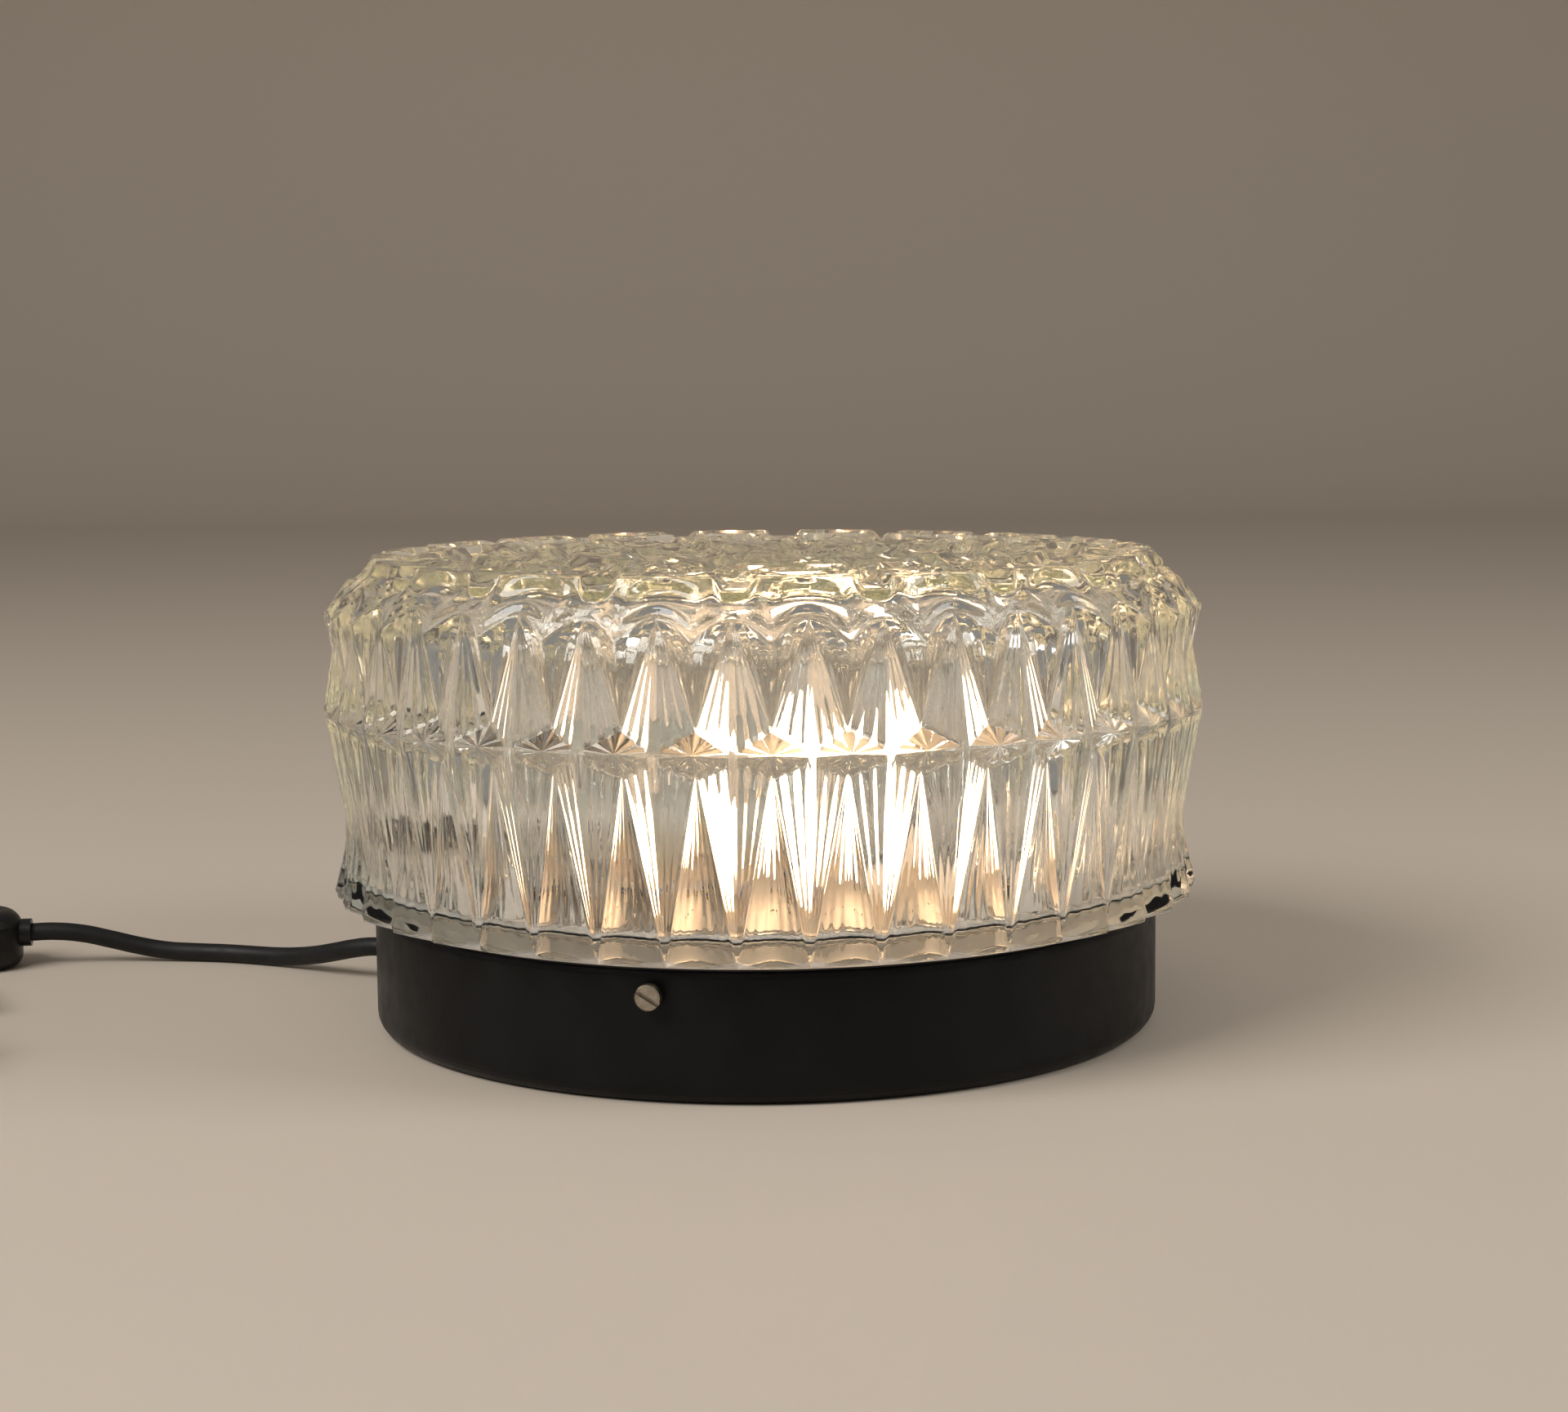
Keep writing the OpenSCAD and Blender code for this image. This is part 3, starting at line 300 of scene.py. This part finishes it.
brown = insulation("brown_insulation", (0.16, 0.075, 0.03), (0.22, 0.11, 0.05))
blue = insulation("blue_insulation", (0.03, 0.09, 0.25), (0.05, 0.13, 0.33))
green = insulation("green_insulation", (0.09, 0.25, 0.03), (0.5, 0.46, 0.04))
core_d = 2.2
core_routes = {
    "live_core": [(-79.32, 27.49, 10.25), (-75.56, 26.12, 10.25), (-69.5, 25.6, 9.6), (-63, 28.5, 8.6),
                  (-58.5, 31.4, 8), (-55, 32, 8), (-51, 32, 8)],
    "neutral_core": [(-78.88, 28.71, 12.5), (-75.12, 27.34, 12.5), (-69.5, 29.5, 12), (-65, 35, 10.5),
                     (-60.5, 40.3, 8.8), (-56, 42, 8), (-51, 42, 8)],
    "earth_core": [(-78.44, 29.93, 10.25), (-74.68, 28.56, 10.25), (-71, 31.5, 10), (-68.5, 38, 9.4),
                   (-65.5, 46, 8.6), (-60.5, 51, 8), (-56, 52, 8), (-51, 52, 8)],
}
for (name, route), finish, slot in zip(core_routes.items(), (brown, blue, green),
                                       ("wire_brown", "wire_blue", "wire_green")):
    core = flex(name, route, core_d * mm, finish)
    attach(core, "base")
    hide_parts("cord_cores")
lamp_routes = {
    "live_lamp_wire": [(-39, 32, 8), (-31, 32, 8), (-24.5, 33, 11), (-21.5, 34.5, 18), (-26, 33.5, 25),
                       (-37, 30, 30), (-52, 27, 36), (-70, 25, 45), (-84, 21, 51), (-92.5, 14, 56),
                       (-95.5, 7, 59), (-93, 2.4, 60), (-88, 1.7, 60), (-80, 1.7, 60), (-71, 1.7, 60)],
    "neutral_lamp_wire": [(-39, 42, 8), (-30, 42, 8), (-20.5, 42, 11.5), (-16.5, 41.5, 20), (-22, 39, 28),
                          (-37, 34.5, 34), (-54, 31.5, 41), (-72, 29, 50), (-87, 23, 56.5), (-96, 13, 62),
                          (-98.5, 4.5, 63.5), (-95.5, -0.8, 61), (-89, -1.7, 60), (-80, -1.7, 60),
                          (-71, -1.7, 60)],
}
for (name, route), finish, slot in zip(lamp_routes.items(), (brown, blue), ("wire_brown", "wire_blue")):
    wire = flex(name, route, core_d * mm, finish)
    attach(wire, "base")
    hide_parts("lamp_wires")
earth = flex("earth_lead", [(-39, 52, 8), (-33, 52, 8), (-28.5, 53.6, 6.6), (-25.2, 56.1, 4.2),
                            (-22.4, 57.7, 3.5), (-18.7, 59.9, 3.5)], core_d * mm, green)
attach(earth, "base")
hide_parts("earth_wire")


# Cord bush: a sleeve of soft black rubber, moulded with a groove that snaps into the pan's wall. It tapers
# along the cord and keeps it from bending sharply.
soft_black, tree, shader = new_finish("soft_black", (0.008, 0.008, 0.008), 0.55)
shader.inputs["Specular IOR Level"].default_value = 0.3
tree.links.new(two_tone(tree, span(tree, speckle(tree, 120, 5.0), 0.35, 0.75, 0.0, 1.0),
                        (0.006, 0.006, 0.006), (0.013, 0.012, 0.012)), shader.inputs["Base Color"])
tree.links.new(span(tree, speckle(tree, 260, 4.0), 0.3, 0.7, 0.46, 0.62), shader.inputs["Roughness"])
relief(tree, shader, speckle(tree, 1600, 3.0), 0.00005)
dress(soft_black, "cord_bush")


# Cord: round black mains cord, 6 mm, held in the clamp inside the pan. It runs out through the bush,
# down to the table and up into the in-line switch.
cord_d, cord_z = 6, 11.0
bush_end = 128
exit_way = (cos(radians(160)), sin(radians(160)))


def along_exit(reach):
    return (reach * exit_way[0], reach * exit_way[1], cord_z)


inner_cord = flex("cord_inside", [along_exit(84), along_exit(98), along_exit(114), along_exit(bush_end)],
                  cord_d * mm, soft_black)
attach(inner_cord, "base")
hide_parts("cord_lead")
switch_way = (cos(radians(187.7)), sin(radians(187.7)))
switch_in = (-242.5, 75.4, cord_z)


def along_switch(reach):
    return (switch_in[0] + reach * switch_way[0], switch_in[1] + reach * switch_way[1], cord_z)


lead_route = [along_exit(bush_end), along_exit(134), (-132, 48.8, 9.9), (-138.5, 53.2, 8), (-145, 58.6, 6),
              (-152, 64, 4.4), (-160, 69, 3.4), (-169, 73.3, 3.1), (-179, 76.7, 3.1), (-189, 78.9, 3.1),
              (-199, 79.8, 3.6), (-208, 79.7, 5.2), (-217, 78.8, 7.6), (-226, 77.6, 9.9),
              along_switch(-7.5), switch_in]
lead = flex("cord_to_switch", lead_route, cord_d * mm, soft_black)
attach(lead, "base")
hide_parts("cord_lead")


# In-line switch: two moulded black shells, held together round the cord by screws from below. A rocker
# of the same plastic tips on pins between them, and the plug is moulded of it too.
moulded_black, tree, shader = new_finish("moulded_black", (0.008, 0.008, 0.0085), 0.34)
shader.inputs["Specular IOR Level"].default_value = 0.35
tree.links.new(two_tone(tree, span(tree, speckle(tree, 70, 5.0), 0.35, 0.7, 0.0, 1.0),
                        (0.006, 0.006, 0.0065), (0.012, 0.012, 0.013)), shader.inputs["Base Color"])
tree.links.new(span(tree, speckle(tree, 200, 4.0), 0.3, 0.7, 0.28, 0.42), shader.inputs["Roughness"])
relief(tree, shader, speckle(tree, 2400, 2.0), 0.00004)
dress(moulded_black, "switch_lower", "switch_upper", "switch_rocker", "plug_body")


# Rest of the cord: the same round cord from the switch to the plug. The length that the photograph doesn't
# show is put away in a flat coil of six turns in two layers.
switch_len = 62
switch_out = along_switch(switch_len)
coil_route = [switch_out, along_switch(switch_len + 6.5),
              (-317.5, 63.6, 10.2), (-324.5, 59.3, 8.6), (-330.2, 53.2, 6.8), (-334, 46, 5.2),
              (-335.6, 38, 4.3), (-336, 30, 4), (-336, 20, 4), (-336, 12, 4)]
coil_x, coil_y, coil_r, lower_z = -291, -2, 25.1, 4
cord_gap = 6.6
turn_steps, climb_steps, half_way = 24, 12, 72
for step in range(2 * half_way + 1):
    late = (step - half_way) / climb_steps
    climb = 0.0 if late < -0.5 else 1.0 if late > 0.5 else 0.5 - 0.5 * cos(pi * (late + 0.5))
    reach = coil_r + cord_gap * abs(step - half_way) / turn_steps
    angle = radians(180 + 360 / turn_steps * step)
    coil_route.append((coil_x + reach * cos(angle), coil_y + reach * sin(angle), lower_z + cord_gap * climb))
coil_route += [(-336, -8.6, 10.6), (-336, -18, 10.6), (-336, -28, 10.8), (-335.2, -40, 11.5),
               (-332.6, -50.5, 12.8), (-327.8, -60, 14.6), (-321, -67.5, 16.4), (-313, -72.3, 17.9),
               (-305, -74, 18.5), (-298, -74, 18.5)]
rest_of_cord = flex("cord_to_plug", coil_route, cord_d * mm, soft_black)
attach(rest_of_cord, "base")
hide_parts("cord_link", "cord_coil", "cord_tail")


# Strap and plug: a black strap holds the coil; the plug is moulded on the cord, with nickel-plated pins
# and earth strips.
strap, tree, shader = new_finish("woven_strap", (0.02, 0.02, 0.02), 0.7)
tree.links.new(two_tone(tree, span(tree, speckle(tree, 1200, 3.0, (1.0, 6.0, 1.0)), 0.3, 0.7, 0.0, 1.0),
                        (0.012, 0.012, 0.012), (0.035, 0.035, 0.034)), shader.inputs["Base Color"])
relief(tree, shader, speckle(tree, 1800, 2.0, (1.0, 5.0, 1.0)), 0.00012)
dress(strap, "coil_tie")
nickel, tree, shader = new_finish("nickel_plate", (0.70, 0.68, 0.63), 0.24, 1.0)
tree.links.new(two_tone(tree, span(tree, speckle(tree, 240, 6.0), 0.3, 0.7, 0.0, 1.0),
                        (0.62, 0.60, 0.55), (0.76, 0.74, 0.70)), shader.inputs["Base Color"])
tree.links.new(span(tree, speckle(tree, 420, 4.0), 0.3, 0.7, 0.18, 0.34), shader.inputs["Roughness"])
relief(tree, shader, speckle(tree, 2200, 2.0, (8.0, 1.0, 1.0)), 0.00002)
dress(nickel, "plug_pins", "plug_strips")


# Bulb: a blown globe, frosted inside, on a nickel-plated screw cap with a rolled thread. A glass stem in it
# carries the burner, which is lit warm white.
lamp_z = 60
globe_x, globe_r, globe_wall = 26, 30, 0.8


def lathe(name, profile, steps, wave=None):
    points, faces = [], []
    for x, r in profile:
        for k in range(steps):
            a = 2 * pi * k / steps
            reach = r + (wave(x, a) if wave else 0.0)
            points.append((x * mm, reach * cos(a) * mm, (lamp_z + reach * sin(a)) * mm))
    for i in range(len(profile) - 1):
        for k in range(steps):
            n = (k + 1) % steps
            faces.append((i * steps + k, i * steps + n, (i + 1) * steps + n, (i + 1) * steps + k))
    faces.append(tuple(range(steps))[::-1])
    faces.append(tuple((len(profile) - 1) * steps + k for k in range(steps)))
    piece = mesh_piece(name, points, faces)
    piece.data.polygons.foreach_set("use_smooth", [True] * len(piece.data.polygons))
    return piece


neck = [(-20.0, 12.5), (-17, 12.7), (-14, 13.1), (-10, 14.1), (-6, 15.5), (-2, 17.2), (2, 19.3), (5, 21.4),
        (8, 24.0)]
globe_angles = [radians(a) for a in np.linspace(57, 179, 44)]
envelope = neck + [(globe_x - globe_r * cos(a), globe_r * sin(a)) for a in globe_angles]
lining_r = globe_r - globe_wall
lining = [(x, r - globe_wall) for x, r in neck]
lining += [(globe_x - lining_r * cos(a), lining_r * sin(a)) for a in globe_angles]
globe = lathe("bulb_globe", envelope + lining[::-1], 72)
frosted, tree, shader = new_finish("frosted_glass", (1.0, 0.98, 0.94), 0.42)
shader.inputs["Transmission Weight"].default_value = 1.0
shader.inputs["IOR"].default_value = 1.47
shader.inputs["Emission Color"].default_value = (1.0, 0.68, 0.42, 1.0)
shader.inputs["Emission Strength"].default_value = 1.7
relief(tree, shader, speckle(tree, 300, 3.0), 0.00003)
globe.data.materials.append(frosted)
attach(globe, "bulb")
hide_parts("bulb_glass")
dress(frosted, "bulb_stem")
glow, tree, shader = new_finish("lit_burner", (0.9, 0.8, 0.65), 0.4)
tree.links.new(two_tone(tree, span(tree, speckle(tree, 200, 3.0), 0.3, 0.7, 0.0, 1.0),
                        (1.0, 0.64, 0.37), (1.0, 0.71, 0.44)), shader.inputs["Emission Color"])
shader.inputs["Emission Strength"].default_value = 100.0
relief(tree, shader, speckle(tree, 900, 2.0), 0.00003)
dress(glow, "bulb_burner")


thread_r, thread_depth, thread_pitch = 12.62, 0.45, 3.62


def rolled_thread(x, a):
    return thread_depth * cos(2 * pi * x / thread_pitch - a) if -43 < x < -22.5 else 0.0


cap_profile = [(-47.5, 5.0), (-46.6, 6.6), (-44.6, 10.2), (-43.6, 11.9), (-43.0, 12.5)]
cap_profile += [(x, thread_r) for x in np.arange(-42.4, -22.4, 0.45)]
cap_profile += [(-22.0, 12.9), (-20.6, 13.1), (-20.0, 12.8)]
cap = lathe("bulb_screw_cap", cap_profile, 60, rolled_thread)
cap.data.materials.append(nickel)
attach(cap, "bulb")
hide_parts("bulb_cap")
dress(nickel, "bulb_contact")


# Seat ring: a thin ring of soft black rubber, cut from sheet and cemented to the pan's flange. The glass
# stands on it, so that it doesn't rattle or chip.
dress(soft_black, "seat_ring")


# Glass shade: clear soda glass pressed in a mould. Fluted kites and long spears interlock round its side
# above and below a sharp middle ridge, and rings of dished bosses cover its top. A neck with a lip, which
# the three screws hold, goes into the pan, and the sole beside it is ground dull.
columns = 80
first_column = 5.8
ridge_r, deep_r, rim_r, top_r = 130.0, 124.2, 129.3, 115.0
ridge_z, rim_z, top_z, recess_z = 94.5, 123.0, 139.0, 135.5
kite_z, spear_z = ridge_z + 5.5, ridge_z - 5.0
arch, shoulder_slope = 5.7, (top_z - rim_z) / (rim_r - top_r)
shares = tuple(i / 16 for i in range(17))
fine_columns = [j + share for j in range(columns) for share in shares[:-1]]
glass_points, glass_faces = [], []


def at_column(r, z, j):
    a = radians(first_column + 360 / columns * j)
    return Vector((r * cos(a), r * sin(a), z)) * mm


def press(rows, closed=False):
    start, width = len(glass_points), len(rows[0])
    for row in rows:
        glass_points.extend(row)
    for i in range(len(rows) - 1):
        a, b = start + i * width, start + (i + 1) * width
        for k in range(width if closed else width - 1):
            n = (k + 1) % width
            glass_faces.append((a + k, b + k, b + n, a + n))


def ease(v):
    v = min(max(v, 0.0), 1.0)
    return v * v * (3 - 2 * v)


def from_middle(j, spacing, shift):
    return abs((j + shift + spacing / 2) % spacing - spacing / 2)


# Rings of bosses: inner and outer reach, columns to each boss, shift of the pattern
boss_rings = ((15, 31, 16, 0), (39, 58, 8, 4), (66, 86, 4, 2), (94, 130, 4, 0))
boss_height, boss_dish = top_z - recess_z, 2.4
half_groove, boss_side, boss_end = 2.6, 3.4, 2.4


def top_level(r, j):
    level = recess_z + boss_height * ease((7.5 - r) / 2.5)
    for inner, outer, spacing, shift in boss_rings:
        off = from_middle(j, spacing, shift) * 2 * pi * r / columns
        half = spacing * pi * r / columns
        side = ease((half - half_groove - off) / boss_side)
        ends = ease((r - inner) / boss_end) * ease((outer - r) / boss_end)
        middle = (inner + min(outer, 116)) / 2
        dish = ease(1.1 - ((r - middle) / 8.0) ** 2 - (off / max(half * 0.75, 1.0)) ** 2)
        level += side * ends * (boss_height - boss_dish * dish)
    return min(level, top_z)


def rim_point(j):
    z = rim_z + arch * sin(pi / 2 * abs(j % 2 - 1))
    return at_column(rim_r - (z - rim_z) / shoulder_slope, z, j)


def shoulder_point(v, j):
    level = top_level(top_r, j)
    start = at_column(top_r + (top_z - level) / shoulder_slope, level, j)
    valley = ease(1 - (2 - from_middle(j, 4, 0)) / (1.3 - 0.9 * v))
    lip = 0.9 * ease(1 - abs(v - 0.72) / 0.16) * ease(1.15 - from_middle(j, 4, 0) / 2)
    dish = 2.0 * ease(1.2 - ((v - 0.36) / 0.26) ** 2 - (from_middle(j, 4, 0) / 1.35) ** 2)
    sink = 3.4 * valley * ease(v / 0.3) * (1 - v) + dish - lip
    normal = Vector((start.x, start.y, 0)).normalized() * 0.746 + Vector((0, 0, 0.666))
    return start.lerp(rim_point(j), v) - normal * sink * mm


press([[at_column(r, top_level(r, j), j) for j in fine_columns] for r in np.linspace(0, 114, 58)]
      + [[shoulder_point(v, j) for j in fine_columns]
         for v in (0, 0.05, 0.12, 0.2, 0.28, 0.36, 0.44, 0.52, 0.58, 0.65, 0.72, 0.8, 0.88, 0.95, 1)],
      closed=True)


def foot_point(j):
    off = abs(j % 2 - 1)
    return at_column(128.0 - 8.0 * off + 1.4 * sin(pi * off), 42.0 - 4.3 * off + 1.2 * sin(pi * off), j)


def half_pattern(j, k):
    return [j + (k - j) * share for share in shares]


def swell(a, b, height, flutes, depth):
    row = []
    for share in shares:
        point = a.lerp(b, share)
        outward = Vector((point.x, point.y, 0)).normalized()
        rise = height * sin(pi * share) + depth * abs(sin(pi * flutes * share))
        row.append(point + outward * rise * mm)
    return row


def ruled(near, far, places):
    return [[a.lerp(b, place) for a, b in zip(near, far)] for place in places]


def fan(apex, edge, places, flutes, depth):
    rows = []
    for place in places:
        row = []
        for share, far in zip(shares, edge):
            point = apex.lerp(far, place)
            outward = Vector((point.x, point.y, 0)).normalized()
            rise = depth * abs(sin(pi * flutes * share)) * min(place, 4 - 4 * place)
            row.append(point + outward * rise * mm)
        rows.append(row)
    return rows


def spear_spine(j, share):
    z = spear_z + (41.9 - spear_z) * share
    return at_column(deep_r + max(0.0, 56.4 - z) * 3.8 / 14.5, z, j)


flutes = 3
long_rows = (0, 0.05, 0.2, 0.4, 0.6, 0.68, 0.76, 0.86, 0.95, 1)
short_rows = (0, 0.06, 0.3, 0.6, 0.94, 1)
for j in range(1, columns, 2):
    upper, lower = at_column(deep_r, kite_z, j), at_column(deep_r, spear_z, j)
    middle = [at_column(ridge_r, ridge_z, j)] * len(shares)
    for k in (j - 1, j + 1):
        side = at_column(ridge_r, ridge_z, k)
        tip, end = rim_point(k), foot_point(k)
        over, under = swell(upper, side, 0.4, flutes, 0.65), swell(lower, side, 0.4, flutes, 0.65)
        press(fan(upper, [rim_point(c) for c in half_pattern(j, k)], short_rows, flutes, 0.6))
        press(ruled(over, [tip] * len(shares), short_rows))
        press(ruled(over, middle, short_rows))
        press(ruled(under, middle, short_rows))
        press(ruled(under, [end] * len(shares), long_rows))
        press([swell(spear_spine(j, s), lower.lerp(end, s), 1.2 * s, flutes, 0.6 * min(s, 4 - 4 * s))
               for s in long_rows[:-1]] + [[foot_point(c) for c in half_pattern(j, k)]])


def sole_point(j):
    off = abs(j % 2 - 1)
    return at_column(127.2 - 8.1 * off + 1.4 * sin(pi * off), 39.6 - 2.3 * off + 0.4 * sin(pi * off), j)


neck_and_inside = [(118.3, 37.1), (116.2, 36.8), (107.3, 36.8), (107.3, 26.5), (109.3, 25.0), (109.3, 21.0),
                   (107.8, 19.5), (104.0, 19.5), (103.0, 20.5), (103.0, 39.6), (104.6, 40.9), (112.2, 42.6),
                   (115.8, 44.3), (117.2, 47.3), (117.2, 84.0), (117.2, 115.0), (116.6, 120.0),
                   (114.7, 124.0), (111.8, 127.4), (108.2, 129.5), (101.2, 130.0), (60.0, 130.0),
                   (0.0, 130.0)]
press([[foot_point(j) for j in fine_columns], [sole_point(j) for j in fine_columns]]
      + [[at_column(r, z, j) for j in fine_columns] for r, z in neck_and_inside], closed=True)
shade = mesh_piece("pressed_shade", glass_points, glass_faces)
body = bmesh.new()
body.from_mesh(shade.data)
bmesh.ops.remove_doubles(body, verts=body.verts, dist=0.002 * mm)
bmesh.ops.recalc_face_normals(body, faces=body.faces)
body.to_mesh(shade.data)
body.free()
shade.data.polygons.foreach_set("use_smooth", [True] * len(shade.data.polygons))
clear_glass, tree, shader = new_finish("clear_glass", (1.0, 1.0, 1.0), 0.035)
shader.inputs["Transmission Weight"].default_value = 1.0
shader.inputs["IOR"].default_value = 1.52
place = tree.nodes.new("ShaderNodeTexCoord")
parts = tree.nodes.new("ShaderNodeSeparateXYZ")
tree.links.new(place.outputs["Object"], parts.inputs["Vector"])
dull_below, clear_above = 0.0385, 0.0400
tree.links.new(span(tree, parts.outputs["Z"], dull_below, clear_above, 0.5, 0.035),
               shader.inputs["Roughness"])
tree.links.new(span(tree, parts.outputs["Z"], dull_below, clear_above, 0.4, 1.0),
               shader.inputs["Transmission Weight"])
streaks = math_node(tree, "MULTIPLY", speckle(tree, 420, 2.0, (1.0, 1.0, 0.12)), 0.6)
relief(tree, shader, math_node(tree, "ADD", speckle(tree, 55, 3.0), streaks), 0.0003)
tint = tree.nodes.new("ShaderNodeVolumeAbsorption")
tint.inputs["Color"].default_value = (0.93, 0.97, 0.74, 1.0)
tint.inputs["Density"].default_value = 7.0
tree.links.new(tint.outputs["Volume"], tree.nodes["Material Output"].inputs["Volume"])
shade.data.materials.append(clear_glass)
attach(shade, "glass")
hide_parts("glass_shade")


# Glass screws: three slotted cheese-head screws of turned, dull plated steel. Their warm brown colour is
# painted darker than the plating, as painted shade. They go through the pan's wall into the welded nuts, and
# their tips hold the glass by its lip.
# Warm brown steel, painted darker than plating as painted shade on the screws
shaded_screw_steel, tree, shader = new_finish("shaded_screw_steel", (0.40, 0.35, 0.29), 0.36, 1.0)
tree.links.new(two_tone(tree, span(tree, speckle(tree, 520, 6.0), 0.3, 0.7, 0.0, 1.0),
                        (0.30, 0.25, 0.20), (0.46, 0.41, 0.34)), shader.inputs["Base Color"])
tree.links.new(span(tree, speckle(tree, 800, 4.0), 0.3, 0.7, 0.26, 0.48), shader.inputs["Roughness"])
relief(tree, shader, speckle(tree, 3000, 2.0), 0.00003)
dress(shaded_screw_steel, "glass_screw_1", "glass_screw_2", "glass_screw_3")
